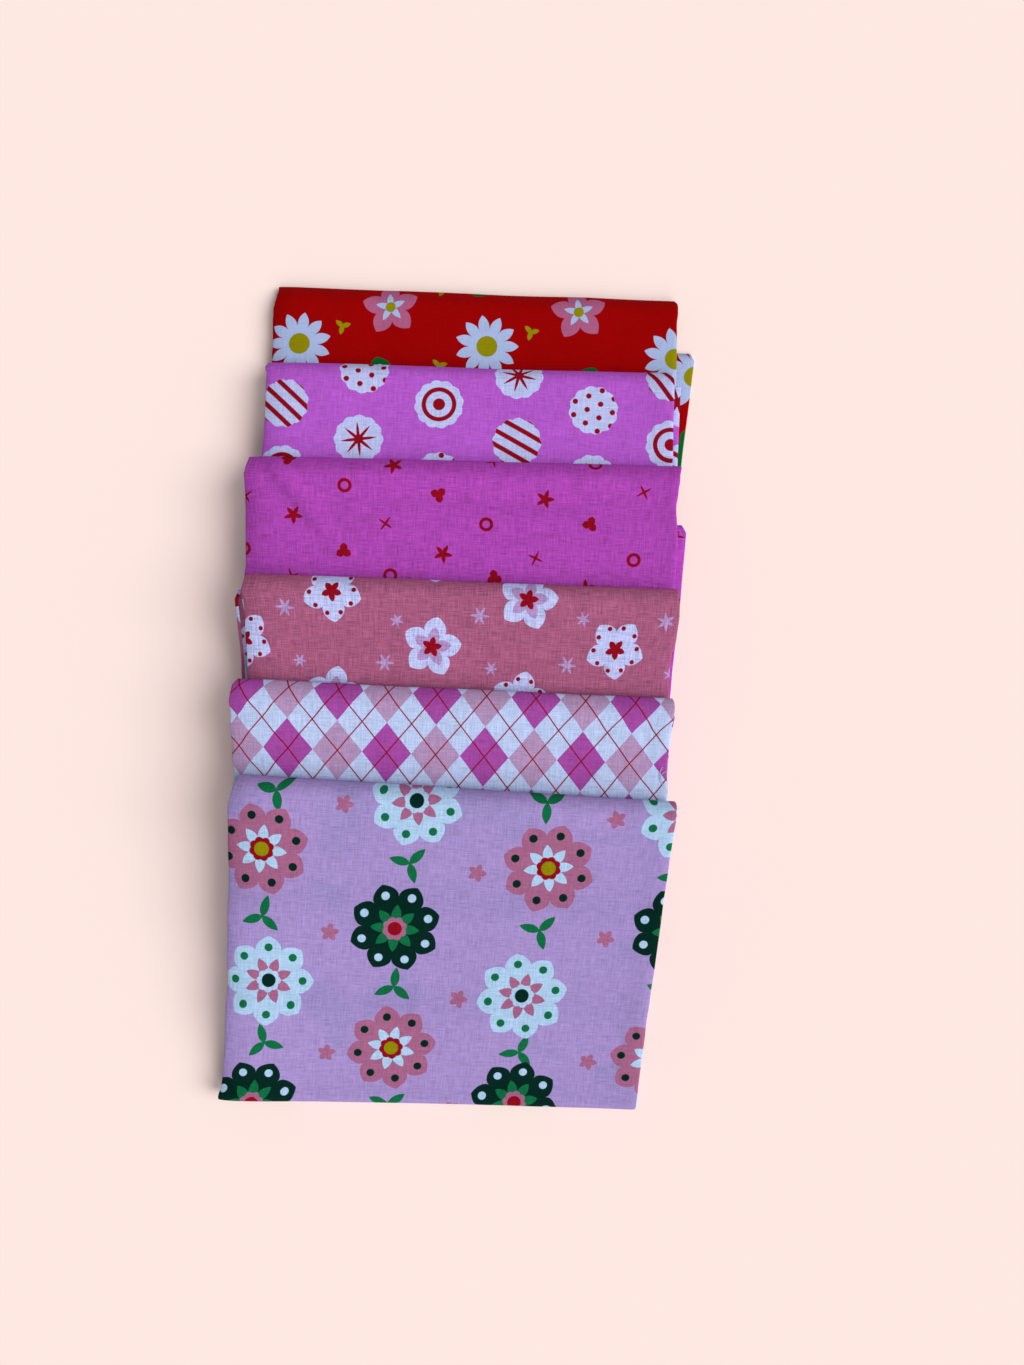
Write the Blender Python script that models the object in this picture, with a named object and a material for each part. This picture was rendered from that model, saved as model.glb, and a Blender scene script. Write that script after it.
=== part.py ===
"""A stack of six fat quarters of printed cotton, each folded into a flat bundle.

Each fat quarter is a 457 by 559 mm sheet. It is folded in thirds across, which
makes a strip of three plies, and the strip is wound flat in five panels. The
bundles lie staggered like roof tiles: each one rests on those behind it and
droops over their front edges to the table.

Units are metres. +Z is up, -Y is the front and the origin is under the middle
of the stack.
"""

import math
from typing import NamedTuple

import bmesh
import bpy

MM = 0.001

# One bundle, seen from the side.
DEPTH = 117.4 * MM
STRIP_THICK = 1.04 * MM
LEVEL_GAP = 0.40 * MM
LEVELS = 5
LEVEL_PITCH = STRIP_THICK + LEVEL_GAP
BUNDLE_THICK = LEVELS * STRIP_THICK + (LEVELS - 1) * LEVEL_GAP
FREE_END_ROOM = 1.5 * MM

# The panels of the strip in winding order, as levels counted down from the top.
PANEL_LEVELS = (3, 2, 4, 1, 5)

# How one bundle lies on the next.
BUNDLE_GAP = 0.45 * MM
STACK_STEP = BUNDLE_THICK + BUNDLE_GAP
DROOP_START = 4.0 * MM
SOFT_END = 0.2

# Behind the last panel's free end the upper panels sink into the empty level.
SINK_DEPTH = 0.9 * LEVEL_PITCH
SINK_START = 1.0 * MM
SINK_RUN = 12.0 * MM
SINK_FULL_SHORT = 12.0 * MM

# The back corners are drawn in a little over this length.
CORNER_RUN = 7.0 * MM

# Mesh density.
PANEL_PIECES = 13
FOLD_PIECES = 6
ACROSS_PIECES = 7


class Bundle(NamedTuple):
    """Where one bundle lies and how its sheet was folded, in mm and degrees.

    middle_x and back_y place the middle of the back edge, and turn is its
    slope. lean slants the side edges, front_turn is the front edge's further
    slope. flap_short is how far the last panel ends from the back edge, and
    flap_drift how far its free end has slipped to the right. droop_run is the
    length over which the next bundle comes down to the table past this one.
    """

    name: str
    middle_x: float
    back_y: float
    turn: float
    width: float
    lean: float
    front_turn: float
    corner_inset: float
    flap_short: float
    flap_drift: float
    droop_run: float
    colour: tuple[float, float, float]


BUNDLES = (
    Bundle("red_fat_quarter", 6.54, 149.60, -2.32, 150.0, 0.002, 0.0, 1.5, 19.7, 5.9, 31.0,
           (0.28, 0.012, 0.012)),
    Bundle("orchid_fat_quarter", 5.67, 118.11, -1.81, 150.1, -0.01, 0.0, 1.8, 12.0, 0.8, 35.0,
           (0.43, 0.10, 0.56)),
    Bundle("magenta_fat_quarter", 2.41, 82.19, -1.52, 151.7, 0.004, 0.0, 1.6, 19.5, 3.4, 43.0,
           (0.40, 0.06, 0.43)),
    Bundle("dusty_rose_fat_quarter", 1.93, 37.37, -2.12, 150.6, -0.002, 0.0, 1.7, 6.0, -1.8, 34.0,
           (0.39, 0.11, 0.22)),
    Bundle("harlequin_fat_quarter", -0.70, 1.00, -2.63, 151.7, 0.0, 0.0, 1.6, 14.0, -0.7, 33.0,
           (0.43, 0.30, 0.51)),
    Bundle("lilac_fat_quarter", -0.19, -33.44, -3.65, 151.5, -0.027, 2.1, 1.7, 12.5, -0.8, 0.0,
           (0.37, 0.27, 0.59)),
)


def smooth(value):
    """0 up to 0, 1 from 1 on, and a soft S between."""
    held = min(max(value, 0.0), 1.0)
    return held * held * (3.0 - 2.0 * held)


def ramp(value):
    """0 up to 0, 1 from 1 on, and a straight slope with soft ends between."""
    held = min(max(value, 0.0), 1.0)
    slope = 1.0 / (1.0 - SOFT_END)
    if held < SOFT_END:
        return slope * held * held / (2 * SOFT_END)
    if held > 1.0 - SOFT_END:
        return 1.0 - slope * (1.0 - held) ** 2 / (2 * SOFT_END)
    return slope * (held - SOFT_END / 2)


def level_height(level):
    """Height of a level's middle over the bundle's underside."""
    return BUNDLE_THICK - STRIP_THICK / 2 - (level - 1) * LEVEL_PITCH


def strip_path(bundle):
    """The strip's middle line from its inner free end to its outer one.

    Args:
        bundle: the row of BUNDLES.

    Returns:
        (distance from the back, height, direction in those two, share of the last panel) rows.
    """
    heights = [level_height(level) for level in PANEL_LEVELS]
    back_centre = STRIP_THICK / 2 + abs(heights[3] - heights[2]) / 2
    front_centre = DEPTH - STRIP_THICK / 2 - abs(heights[4] - heights[3]) / 2
    starts = (front_centre - FREE_END_ROOM, back_centre, front_centre, back_centre, front_centre)
    ends = (back_centre, front_centre, back_centre, front_centre, bundle.flap_short * MM)
    path = []
    for panel, height in enumerate(heights):
        is_last = panel == LEVELS - 1
        heading = -1.0 if panel % 2 == 0 else 1.0
        for piece in range(PANEL_PIECES + 1):
            share = piece / PANEL_PIECES
            along = starts[panel] + (ends[panel] - starts[panel]) * share
            path.append((along, height, (heading, 0.0), share if is_last else 0.0))
        if is_last:
            break
        radius = abs(heights[panel + 1] - height) / 2
        middle = (heights[panel + 1] + height) / 2
        rise = 1.0 if heights[panel + 1] > height else -1.0
        for piece in range(1, FOLD_PIECES):
            angle = math.pi * piece / FOLD_PIECES
            along = ends[panel] + heading * radius * math.sin(angle)
            direction = (heading * math.cos(angle), rise * math.sin(angle))
            path.append((along, middle - rise * radius * math.cos(angle), direction, 0.0))
    return path


def section_outline(bundle):
    """The closed outline of the wound strip, as (distance from the back, height, share) rows."""
    path = strip_path(bundle)
    faces = []
    for offset in (STRIP_THICK / 2, -STRIP_THICK / 2):
        faces.append(
            [
                (along - offset * direction[1], height + offset * direction[0], share)
                for along, height, direction, share in path
            ]
        )
    return faces[0] + faces[1][::-1]


def front_line(bundle, x):
    """The y of a bundle's front edge at this x."""
    turn = math.radians(bundle.turn + bundle.front_turn)
    return bundle.back_y * MM - DEPTH + math.tan(turn) * (x - bundle.middle_x * MM)


def rest_height(index, x, y):
    """How high a bundle's underside lies over this place on the table."""
    height = 0.0
    for below in BUNDLES[:index]:
        run = below.droop_run * MM
        past_end = y - (front_line(below, x) + DROOP_START - run)
        height += STACK_STEP * ramp(past_end / run)
    return height


def sunk(bundle, along, height):
    """The height after the panels over the empty back of the lowest level have sunk."""
    short = bundle.flap_short * MM
    if height < level_height(LEVELS) + STRIP_THICK / 2 + LEVEL_GAP / 2:
        return height
    depth = SINK_DEPTH * min(1.0, short / SINK_FULL_SHORT)
    return height - depth * smooth((short - SINK_START - along) / SINK_RUN)


def placed(index, bundle, across, along, height, last_share):
    """A point of the section at one station across, in the stack.

    Args:
        index: the bundle's place in the stack, 0 lowest.
        bundle: the row of BUNDLES.
        across: -1 at the left edge, 1 at the right edge.
        along: distance from the back edge.
        height: height over the bundle's underside.
        last_share: how far along the last panel the point is, 0 elsewhere.

    Returns:
        The (x, y, z) position.
    """
    inset = bundle.corner_inset * MM * max(0.0, 1.0 - along / CORNER_RUN) ** 2
    local_x = across * (bundle.width * MM / 2 - inset)
    local_x += bundle.lean * along + bundle.flap_drift * MM * last_share
    twist = math.tan(math.radians(bundle.front_turn)) * along / DEPTH
    local_y = -along + twist * local_x
    turn = math.radians(bundle.turn)
    x = bundle.middle_x * MM + local_x * math.cos(turn) - local_y * math.sin(turn)
    y = bundle.back_y * MM + local_x * math.sin(turn) + local_y * math.cos(turn)
    return x, y, rest_height(index, x, y) + sunk(bundle, along, height)


def cloth_material(bundle):
    """A matt cotton of the bundle's ground colour."""
    material = bpy.data.materials.new(bundle.name + "_cotton")
    material.use_nodes = True
    shader = material.node_tree.nodes["Principled BSDF"]
    shader.inputs["Base Color"].default_value = (*bundle.colour, 1.0)
    shader.inputs["Roughness"].default_value = 0.9
    return material


def add_bundle(index, bundle):
    """Builds one bundle: its section outline carried across the width.

    Args:
        index: the bundle's place in the stack, 0 lowest.
        bundle: the row of BUNDLES.
    """
    outline = section_outline(bundle)
    shape = bmesh.new()
    rings = []
    for station in range(ACROSS_PIECES + 1):
        across = 2.0 * station / ACROSS_PIECES - 1.0
        ring = [shape.verts.new(placed(index, bundle, across, *point)) for point in outline]
        rings.append(ring)
    count = len(outline)
    for here, there in zip(rings, rings[1:]):
        for i in range(count):
            j = (i + 1) % count
            shape.faces.new((here[i], here[j], there[j], there[i]))
    # Each end is closed by a row of quads from one face of the strip to the other.
    for ring in (rings[0], rings[-1]):
        for i in range(count // 2 - 1):
            shape.faces.new((ring[i], ring[i + 1], ring[count - 2 - i], ring[count - 1 - i]))
    bmesh.ops.recalc_face_normals(shape, faces=shape.faces)
    mesh = bpy.data.meshes.new(bundle.name)
    shape.to_mesh(mesh)
    shape.free()
    mesh.materials.append(cloth_material(bundle))
    bpy.context.scene.collection.objects.link(bpy.data.objects.new(bundle.name, mesh))


def main():
    for old in list(bpy.data.objects):
        bpy.data.objects.remove(old)
    for index, bundle in enumerate(BUNDLES):
        add_bundle(index, bundle)


main()
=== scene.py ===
"""A stack of six folded fat quarters of printed cotton on a pale table.

Each fat quarter is one thin sheet, 457 by 559 mm. It is folded in thirds
across, wound flat in five panels, and laid on the ones behind it. A sheet's
"cloth" UV map holds its flat place in metres, so the print and the weave run
round every fold.
"""

import logging
import math
from collections.abc import Callable
from dataclasses import asdict, dataclass, field
from enum import Enum
from typing import ClassVar

import bmesh
import bpy
from mathutils import Matrix, Vector, noise

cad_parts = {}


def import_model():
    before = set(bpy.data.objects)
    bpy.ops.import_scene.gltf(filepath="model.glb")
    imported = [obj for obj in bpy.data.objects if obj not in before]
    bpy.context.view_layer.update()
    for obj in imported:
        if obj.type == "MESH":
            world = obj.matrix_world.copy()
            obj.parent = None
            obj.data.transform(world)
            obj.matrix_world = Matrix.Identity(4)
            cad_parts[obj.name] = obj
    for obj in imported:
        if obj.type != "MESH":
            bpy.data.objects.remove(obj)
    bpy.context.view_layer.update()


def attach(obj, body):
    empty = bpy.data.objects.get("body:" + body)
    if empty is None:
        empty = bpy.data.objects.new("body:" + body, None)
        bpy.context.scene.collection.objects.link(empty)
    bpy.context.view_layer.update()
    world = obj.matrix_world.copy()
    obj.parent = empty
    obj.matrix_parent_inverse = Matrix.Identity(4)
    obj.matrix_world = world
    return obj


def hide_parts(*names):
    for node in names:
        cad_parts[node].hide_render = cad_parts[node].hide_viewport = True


LOG = logging.getLogger("fat_quarters")

MM = 0.001
Colour = tuple[float, float, float]


class Ink(Enum):
    """The printing inks and dyed grounds, as linear colours."""

    DEEP_RED = (0.295, 0.0004, 0.0006)
    PRINT_RED = (0.255, 0.003, 0.011)
    COOL_WHITE = (0.454, 0.544, 0.802)
    SMOKE_WHITE = (0.365, 0.45, 0.70)
    VIOLET_WHITE = (0.47, 0.51, 0.82)
    ICE_WHITE = (0.387, 0.558, 0.775)
    LEAF_GREEN = (0.0015, 0.105, 0.018)
    BRIGHT_GREEN = (0.0046, 0.138, 0.0506)
    PINE_GREEN = (0.00112, 0.0195, 0.014)
    MUSTARD = (0.25, 0.225, 0.002)
    PEBBLE_PINK = (0.385, 0.10, 0.21)
    ORCHID = (0.43, 0.094, 0.56)
    MAGENTA = (0.40, 0.059, 0.43)
    DUSTY_ROSE = (0.356, 0.098, 0.194)
    PALE_LILAC = (0.395, 0.254, 0.508)
    SHELL_PINK = (0.399, 0.257, 0.446)
    HOT_PINK = (0.337, 0.0626, 0.327)
    LILAC = (0.348, 0.252, 0.547)
    CORAL_ROSE = (0.347, 0.117, 0.23)
    SMOKE_BLUE = (0.20, 0.22, 0.44)


def operator(operation: str, swapped: bool = False) -> Callable[..., "Value"]:
    """An operator of Value, as one Math node.

    Args:
        operation: the node's operation.
        swapped: whether the other value comes first.

    Returns:
        The operator.
    """

    def step(value: "Value", *other: object) -> "Value":
        """Adds the node and gives its result."""
        return value.wire.math(operation, *((*other, value) if swapped else (value, *other)))

    return step


@dataclass(frozen=True)
class Value:
    """A value in a shader that plain arithmetic works on, with one Math node a step.

    wire is the wiring of its node tree, and socket the output that gives it.
    """

    wire: "Wiring"
    socket: bpy.types.NodeSocket

    __add__ = operator("ADD")
    __radd__ = operator("ADD", swapped=True)
    __sub__ = operator("SUBTRACT")
    __rsub__ = operator("SUBTRACT", swapped=True)
    __mul__ = operator("MULTIPLY")
    __truediv__ = operator("DIVIDE")
    __rtruediv__ = operator("DIVIDE", swapped=True)
    __pow__ = operator("POWER")
    # The remainder is never negative.
    __mod__ = operator("FLOORED_MODULO")
    __abs__ = operator("ABSOLUTE")


@dataclass(frozen=True)
class Wiring:
    """Places shader nodes in one node tree and joins them."""

    tree: bpy.types.NodeTree

    def node(
        self, kind: str, inputs: dict[int | str, object] | None = None, **settings: object
    ) -> bpy.types.Node:
        """A new node.

        Args:
            kind: the node's type name.
            inputs: input names or numbers and what each is fed.
            settings: attribute names and their values.

        Returns:
            The node.
        """
        made = self.tree.nodes.new(kind)
        for name, value in settings.items():
            setattr(made, name, value)
        for name, source in (inputs or {}).items():
            self.feed(made.inputs[name], source)
        return made

    def feed(self, target: bpy.types.NodeSocket, source: object) -> None:
        """Joins a value to an input, or sets the input to a plain number, vector or colour."""
        if isinstance(source, Value):
            self.tree.links.new(source.socket, target)
        else:
            target.default_value = source

    def out(self, node: bpy.types.Node, name: int | str = 0) -> Value:
        """One of a node's outputs, the first if none is named."""
        return Value(self, node.outputs[name])

    def math(self, operation: str, *terms: object, clamp: bool = False) -> Value:
        """The result of one Math node, kept between 0 and 1 if clamp is set."""
        made = self.node("ShaderNodeMath", dict(enumerate(terms)), operation=operation, use_clamp=clamp)
        return self.out(made)

    def vector_math(self, operation: str, *terms: object) -> Value:
        """The vector result of one Vector Math node."""
        return self.out(self.node("ShaderNodeVectorMath", dict(enumerate(terms)), operation=operation))

    def apart(self, place: Value) -> tuple[Value, Value]:
        """The x and y of a vector."""
        made = self.node("ShaderNodeSeparateXYZ", {0: place})
        return self.out(made, 0), self.out(made, 1)

    def together(self, x: Value, y: Value) -> Value:
        """A vector from its x and y."""
        return self.out(self.node("ShaderNodeCombineXYZ", {0: x, 1: y}))

    def length(self, x: Value, y: Value) -> Value:
        """How far a place is from the origin."""
        return self.math("SQRT", x * x + y * y)

    def noise(self, place: Value, scale: float, detail: float, roughness: float) -> Value:
        """Soft noise around 0.5, with a number of finer layers and their share."""
        inputs = {"Vector": place, "Scale": scale, "Detail": detail, "Roughness": roughness}
        return self.out(self.node("ShaderNodeTexNoise", inputs, noise_dimensions="2D"))

    def use(self, group: bpy.types.NodeTree, **values: object) -> bpy.types.Node:
        """A group node with its inputs set."""
        return self.node("ShaderNodeGroup", values, node_tree=group)

    def blend(self, way: str, mask: object, under: object, over: object) -> Value:
        """One colour laid over another.

        Args:
            way: how they are blended.
            mask: how much of the upper one shows.
            under: the colour below, as a value, an Ink or a plain colour.
            over: the colour on top.

        Returns:
            The colour.
        """
        below, above = ((*one.value, 1.0) if isinstance(one, Ink) else one for one in (under, over))
        inputs = {"Factor": mask, 6: below, 7: above}
        return self.out(self.node("ShaderNodeMix", inputs, data_type="RGBA", blend_type=way), 2)


class Group:
    """A shader group under construction, with its inputs as values."""

    def __init__(self, name: str, numbers: tuple[str, ...], outputs: dict[str, str]) -> None:
        """Makes the group with named sockets.

        Args:
            name: the group's name.
            numbers: the names of its inputs, after the vector input place.
            outputs: output names and their short socket types.
        """
        self.tree = bpy.data.node_groups.new(name, "ShaderNodeTree")
        inputs = {"place": "Vector"} | dict.fromkeys(numbers, "Float")
        for side, sockets in (("INPUT", inputs), ("OUTPUT", outputs)):
            for socket_name, kind in sockets.items():
                self.tree.interface.new_socket(socket_name, in_out=side, socket_type="NodeSocket" + kind)
        self.wire = Wiring(self.tree)
        entry = self.wire.node("NodeGroupInput")
        self.given = {socket_name: self.wire.out(entry, socket_name) for socket_name in inputs}
        self.way_out = self.wire.node("NodeGroupOutput")

    def give(self, **results: Value) -> bpy.types.NodeTree:
        """Joins the results to the outputs of their names, which finishes the tree."""
        for name, result in results.items():
            self.wire.feed(self.way_out.inputs[name], result)
        return self.tree


class PrintTools:
    """The node groups that the prints share, each built once.

    A mask group gives 1 inside its shape and 0 outside, and takes the place
    in mm from the shape's middle.
    """

    # The width in mm over which a shape's edge fades.
    EDGE = 0.22
    # The share of a row by which each column is dropped.
    HALF_DROP = 0.5
    # The random numbers of cells are drawn this far from the origin, at cell middles.
    CHANCE_SHIFT = 40.5
    # One row a run of uneven yarns: how fast it changes across and along, and its strength.
    YARNS = ((3.4, 0.20, 1.15), (0.20, 3.4, 1.15), (1.1, 0.06, 0.4), (0.06, 1.1, 0.4))
    # How much painted shade darkens the hollows between the threads and painted light brightens their
    # crowns, and the relief height that is left as it is.
    RELIEF_SHADE = 0.22
    RELIEF_MIDDLE = 0.4

    def __init__(self) -> None:
        """Builds every group."""
        self.weave = self._weave()
        self.repeat = self._repeat()
        self.shapes = {"lobed": self._lobed(), "dot_ring": self._dot_ring(), "stripes": self._stripes()}

    def _weave(self) -> bpy.types.NodeTree:
        """Plain weave: threads over and under, and uneven thick and thin yarns.

        Returns:
            The group, with a shade near 1 that holds the yarns' uneven tone together with painted shade and
            light from the threads' relief, and a height for the bump.
        """
        group = Group("plain_weave", ("pitch", "slub"), {"shade": "Float", "height": "Float"})
        wire, given = group.wire, group.given
        x, y = wire.apart(given["place"])
        turns = math.pi / given["pitch"]
        height = abs(wire.math("SINE", x * turns) * wire.math("SINE", y * turns))
        total: object = 0.0
        for across, along, share in self.YARNS:
            stretched = wire.vector_math("MULTIPLY", given["place"], (across, along, 1.0))
            total = total + (wire.noise(stretched, 1.0, 1.0, 0.6) - 0.5) * share
        # The yarns' uneven tone, with painted shade in the thread hollows and painted light on the thread
        # crowns.
        shade = total * given["slub"] + (height - self.RELIEF_MIDDLE) * self.RELIEF_SHADE + 1.0
        return group.give(shade=shade, height=height + total)

    def _repeat(self) -> bpy.types.NodeTree:
        """A print's repeat in columns, where shake moves the motifs at random and spin turns them.

        Returns:
            The group, with the place in the repeat and the cell's number.
        """
        numbers = ("wide", "tall", "shake", "spin")
        group = Group("half_drop_repeat", numbers, {"local": "Vector", "number": "Float"})
        wire, given = group.wire, group.given
        x, y = wire.apart(given["place"])
        columns = x / given["wide"]
        column = wire.math("FLOOR", columns)
        rows = y / given["tall"] + column * self.HALF_DROP
        row = wire.math("FLOOR", rows)
        cell = wire.together(column + self.CHANCE_SHIFT, row + self.CHANCE_SHIFT)
        chance = wire.node("ShaderNodeTexWhiteNoise", {"Vector": cell}, noise_dimensions="2D")
        random_x, random_y = wire.apart(wire.out(chance, "Color"))
        local = (
            (at - number - 0.5) * given[size] + (random - 0.5) * given["shake"]
            for at, number, size, random in (
                (columns, column, "wide", random_x),
                (rows, row, "tall", random_y),
            )
        )
        angle = (wire.out(chance, "Value") - 0.5) * given["spin"]
        inputs = {"Vector": wire.together(*local), "Angle": angle}
        turned = wire.node("ShaderNodeVectorRotate", inputs, rotation_type="Z_AXIS")
        return group.give(local=wire.out(turned), number=column + row)

    def _finished(self, group: Group, distance: Value) -> bpy.types.NodeTree:
        """Finishes a mask group from the signed distance to its outline, in mm."""
        mask = group.wire.math("SUBTRACT", 0.5, distance / self.EDGE, clamp=True)
        return group.give(mask=mask)

    @staticmethod
    def _polar(group: Group) -> tuple[Value, Value]:
        """The radius, and the angle in turns, turned by the group's turn and kept above 0."""
        x, y = group.wire.apart(group.given["place"])
        angle = group.wire.math("ARCTAN2", y, x) / (2 * math.pi)
        return group.wire.length(x, y), angle + 1.0 + group.given["turn"]

    def _lobed(self) -> bpy.types.NodeTree:
        """The mask of a disc, flower or star, with the fields of Lobed as its inputs."""
        group = Group("lobed_shape", ("outer", "inner", "lobes", "point", "turn"), {"mask": "Float"})
        given = group.given
        radius, angle = self._polar(group)
        share = group.wire.math("FRACT", angle * given["lobes"])
        tip = 1.0 - abs(share - 0.5) * 2.0
        edge = given["inner"] + (given["outer"] - given["inner"]) * tip ** given["point"]
        return self._finished(group, radius - edge)

    def _dot_ring(self) -> bpy.types.NodeTree:
        """The mask of dots round a ring, with the fields of DotRing as its inputs."""
        group = Group("dot_ring", ("ring", "dot", "count", "turn"), {"mask": "Float"})
        wire, given = group.wire, group.given
        radius, angle = self._polar(group)
        sectors = angle * given["count"]
        off = sectors - wire.math("FLOOR", sectors) - 0.5
        swing = off * (2 * math.pi) / given["count"]
        along = radius * wire.math("COSINE", swing) - given["ring"]
        across = radius * wire.math("SINE", swing)
        return self._finished(group, wire.length(along, across) - given["dot"])

    def _stripes(self) -> bpy.types.NodeTree:
        """The mask of straight stripes, with the fields of Stripes as its inputs."""
        group = Group("stripes", ("angle", "pitch", "width"), {"mask": "Float"})
        wire, given = group.wire, group.given
        x, y = wire.apart(given["place"])
        across = x * wire.math("SINE", given["angle"]) + y * wire.math("COSINE", given["angle"])
        # The 100 keeps the count above 0 on every cloth, and the half puts a stripe on the middle.
        share = wire.math("FRACT", across / given["pitch"] + 100.5)
        off = abs(share - 0.5) * given["pitch"]
        return self._finished(group, off - given["width"] * 0.5)


@dataclass(frozen=True)
class Shape:
    """A printed shape, in mm. Its fields are the inputs of its node group."""

    group: ClassVar[str]


@dataclass(frozen=True)
class Lobed(Shape):
    """A disc, flower or star: its radii at the tips and the notches, and its lobes.

    point is below 1 for round lobes and above 1 for sharp ones. turn is in
    whole turns.
    """

    group: ClassVar[str] = "lobed"
    outer: float
    inner: float
    lobes: float
    point: float
    turn: float = 0.0

    @classmethod
    def disc(cls, radius: float) -> "Lobed":
        """A plain disc."""
        return cls(radius, radius, 1.0, 1.0)


@dataclass(frozen=True)
class DotRing(Shape):
    """Dots spaced round a ring: the ring's and the dots' radii, their number and whole turns."""

    group: ClassVar[str] = "dot_ring"
    ring: float
    dot: float
    count: float
    turn: float = 0.0


@dataclass(frozen=True)
class Stripes(Shape):
    """Straight stripes: their slant in radians, their spacing and their width."""

    group: ClassVar[str] = "stripes"
    angle: float
    pitch: float
    width: float


@dataclass(frozen=True)
class Cells:
    """A print's repeat: the place in each cell, and the cell's number."""

    local: Value
    number: Value

    def kind(self, kinds: int, wanted: int) -> Value:
        """1 in the cells of one kind, where kinds follow one another along rows and columns."""
        return self.number.wire.math("COMPARE", self.number % float(kinds), float(wanted), 0.5)


class Canvas:
    """A cloth's printed side, on which a print lays its inks one over another."""

    def __init__(self, wire: Wiring, tools: PrintTools, place: Value, ground: Ink) -> None:
        """Starts from the bare ground.

        Args:
            wire: the material's wiring.
            tools: the shared groups.
            place: the flat place on the cloth, in mm.
            ground: the dyed ground.
        """
        self.wire = wire
        self.tools = tools
        self.place = place
        self.colour: object = ground

    def cells(
        self,
        size: tuple[float, float],
        shake: float = 0.0,
        spin: float = 0.0,
        step: tuple[float, float] = (0.0, 0.0),
        place: Value | None = None,
    ) -> Cells:
        """A repeat over the cloth.

        Args:
            size: the width and height of a cell, in mm.
            shake: how far the motifs are moved at random, in mm.
            spin: how far they are turned at random, in radians.
            step: how far the repeat is moved, in mm.
            place: the place that is repeated, or None for that on the cloth.

        Returns:
            The cells.
        """
        start = self.place if place is None else place
        moved = self.wire.vector_math("ADD", start, (*step, 0.0))
        wide, tall = size
        repeat = self.wire.use(self.tools.repeat, place=moved, wide=wide, tall=tall, shake=shake, spin=spin)
        return Cells(self.wire.out(repeat, "local"), self.wire.out(repeat, "number"))

    def mask(self, shape: Shape, place: Value) -> Value:
        """Where a shape is, from the place that its middle is measured from."""
        made = self.wire.use(self.tools.shapes[shape.group], place=place, **asdict(shape))
        return self.wire.out(made)

    def lay(self, ink: Ink, mask: Value, shown: Value | None = None) -> None:
        """Lays an ink over the colour so far.

        Args:
            ink: the ink.
            mask: where it goes.
            shown: 1 in the cells that have it, or None for all.
        """
        where = mask if shown is None else mask * shown
        self.colour = self.wire.blend("MIX", where, self.colour, ink)

    def stamp(self, ink: Ink, shape: Shape, cells: Cells, shown: Value | None = None) -> None:
        """Lays a shape in the middle of each cell, or of those where shown is 1."""
        self.lay(ink, self.mask(shape, cells.local), shown)


@dataclass(frozen=True)
class Print:
    """A cotton print: its ground, and how far its repeat is moved, in mm."""

    name: str
    ground: Ink
    shift: tuple[float, float] = (0.0, 0.0)

    def draw(self, canvas: Canvas) -> None:
        """Prints the motifs on a cloth's printed side. Each print draws its own."""
        raise NotImplementedError


@dataclass(frozen=True)
class GardenPrint(Print):
    """Red ground: white daisies, dotted green clovers, pink flowers and mustard buds."""

    def draw(self, canvas: Canvas) -> None:
        """Prints the motifs. See Print.draw."""
        size = (35.0, 31.0)
        cells = canvas.cells(size, shake=3.0, spin=1.2)
        is_daisy, is_clover, is_bloom = (cells.kind(3, wanted) for wanted in range(3))
        for ink, wanted, shape in (
            (Ink.SMOKE_WHITE, is_daisy, Lobed(11.8, 6.0, 11.0, 0.5)),
            (Ink.MUSTARD, is_daisy, Lobed.disc(3.9)),
            (Ink.LEAF_GREEN, is_clover, Lobed(11.6, 3.4, 4.0, 0.45)),
            (Ink.PEBBLE_PINK, is_bloom, Lobed(10.6, 5.4, 5.0, 0.7)),
            (Ink.SMOKE_WHITE, is_bloom, Lobed(5.6, 1.8, 5.0, 1.2)),
            (Ink.MUSTARD, is_bloom, Lobed.disc(1.9)),
            (Ink.SMOKE_WHITE, is_clover, DotRing(7.2, 1.5, 4.0)),
        ):
            canvas.stamp(ink, shape, cells, wanted)
        between = canvas.cells(size, shake=3.0, spin=5.0, step=(17.5, 8.0))
        canvas.stamp(Ink.MUSTARD, Lobed(3.2, 0.8, 3.0, 1.3), between)


@dataclass(frozen=True)
class MedallionPrint(Print):
    """Orchid ground: white medallions with red stripes, dots, a star or rings."""

    def draw(self, canvas: Canvas) -> None:
        """Prints the motifs. See Print.draw."""
        cells = canvas.cells((28.0, 25.0), shake=1.5, spin=0.6)
        medallion = canvas.mask(Lobed(9.0, 8.2, 12.0, 0.6), cells.local)
        canvas.lay(Ink.VIOLET_WHITE, medallion)
        stripes = canvas.mask(Stripes(0.7, 4.6, 1.7), cells.local)
        spots = canvas.cells((4.6, 5.0), place=cells.local)
        spot = canvas.mask(Lobed.disc(1.0), spots.local)
        star = canvas.mask(Lobed(6.6, 1.7, 8.0, 2.2), cells.local)
        rim, hole, eye = (canvas.mask(Lobed.disc(radius), cells.local) for radius in (6.3, 4.7, 2.2))
        for wanted, inside in enumerate((rim - hole + eye, stripes, star, spot)):
            canvas.lay(Ink.PRINT_RED, inside * cells.kind(4, wanted), medallion)


@dataclass(frozen=True)
class SparklePrint(Print):
    """Magenta ground: small red stars, trefoils, rings and saltires, far apart."""

    def draw(self, canvas: Canvas) -> None:
        """Prints the motifs. See Print.draw."""
        cells = canvas.cells((17.5, 21.0), shake=4.0, spin=1.4)
        star, trefoil, saltire, rim, hole = (
            canvas.mask(shape, cells.local)
            for shape in (
                Lobed(3.5, 1.3, 5.0, 1.3),
                Lobed(2.9, 1.2, 3.0, 0.6),
                Lobed(3.1, 0.7, 4.0, 3.0, turn=0.125),
                Lobed.disc(2.5),
                Lobed.disc(1.35),
            )
        )
        for wanted, mask in enumerate((star, trefoil, rim - hole, saltire)):
            canvas.lay(Ink.PRINT_RED, mask, cells.kind(4, wanted))


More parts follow.
